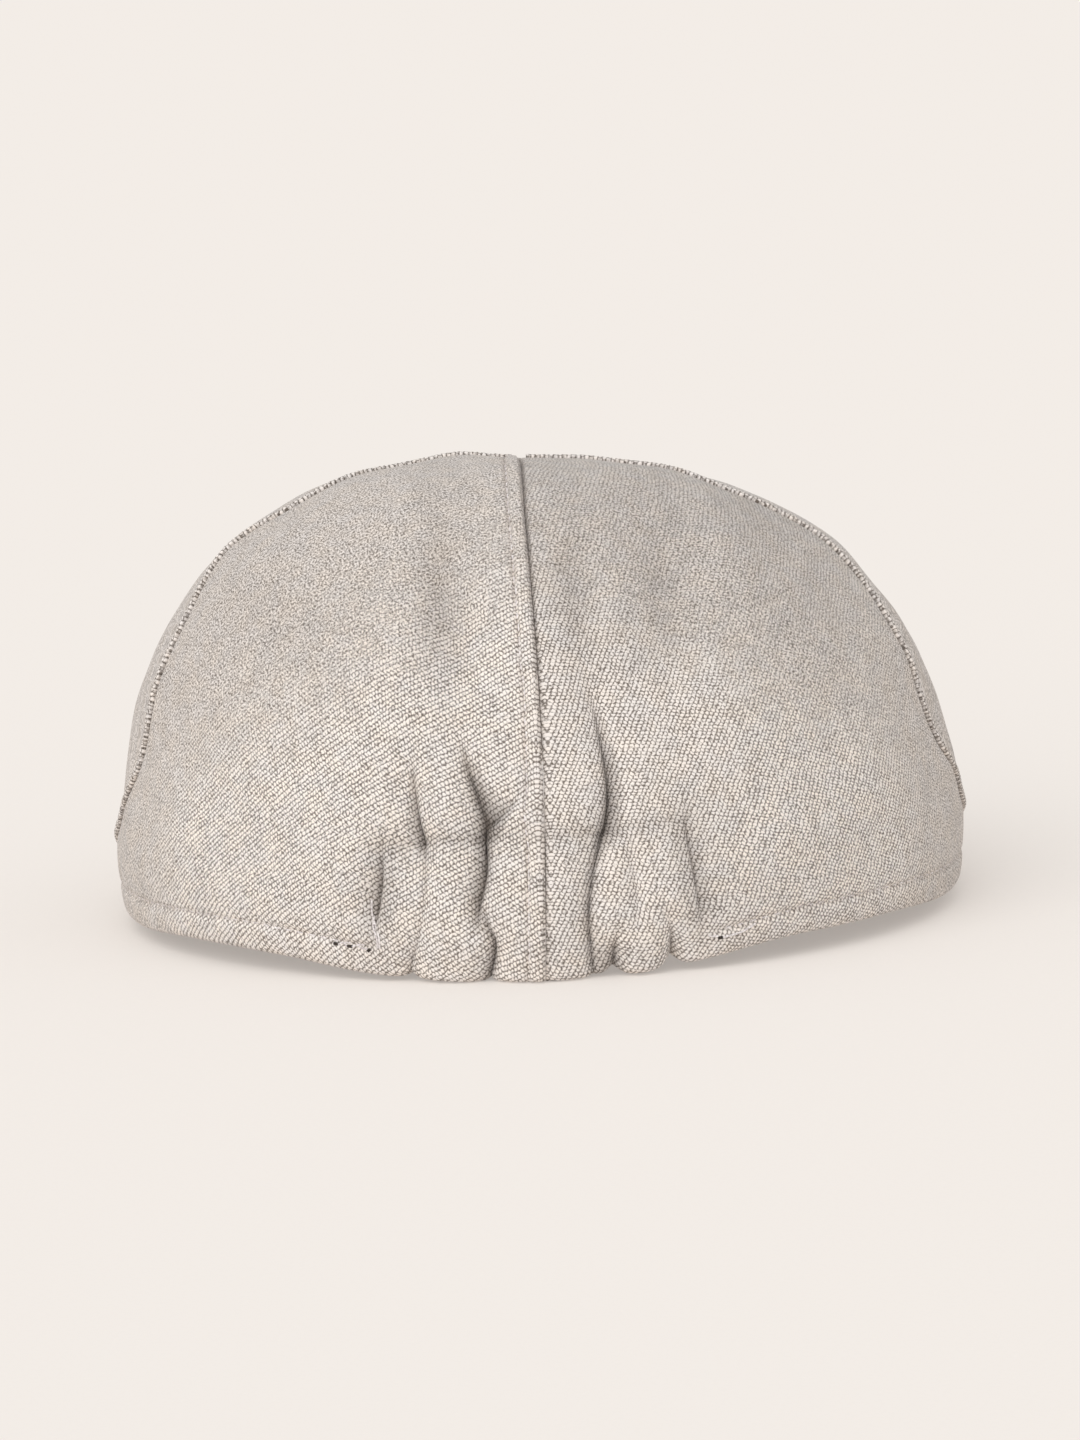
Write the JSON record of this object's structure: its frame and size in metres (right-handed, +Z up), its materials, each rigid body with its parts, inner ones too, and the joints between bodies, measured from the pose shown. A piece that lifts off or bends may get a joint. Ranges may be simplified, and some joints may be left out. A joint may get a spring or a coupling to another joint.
{
  "type": "flat cap",
  "caption": "Soft flat cap of wool twill: two back panels gathered on a hidden elastic, a sloping top panel and a short stiff peak; open underneath for the head.",
  "frame": {"origin": "middle of the cap's length and width, on the plane it rests on", "axes": "+Z up out of the crown, +Y from the gathered back towards the peak, +X towards the wearer's right"},
  "size_m": [0.1886, 0.2504, 0.1017],
  "materials": {
    "wool_twill": "light grey-beige melange wool twill, slightly felted",
    "elastic": "woven off-white elastic tape"
  },
  "bodies": {
    "root": {"back_panel_left": "wool_twill", "back_panel_right": "wool_twill", "top_panel": "wool_twill", "peak": "wool_twill", "elastic_band": "elastic"}
  },
  "joints": []
}
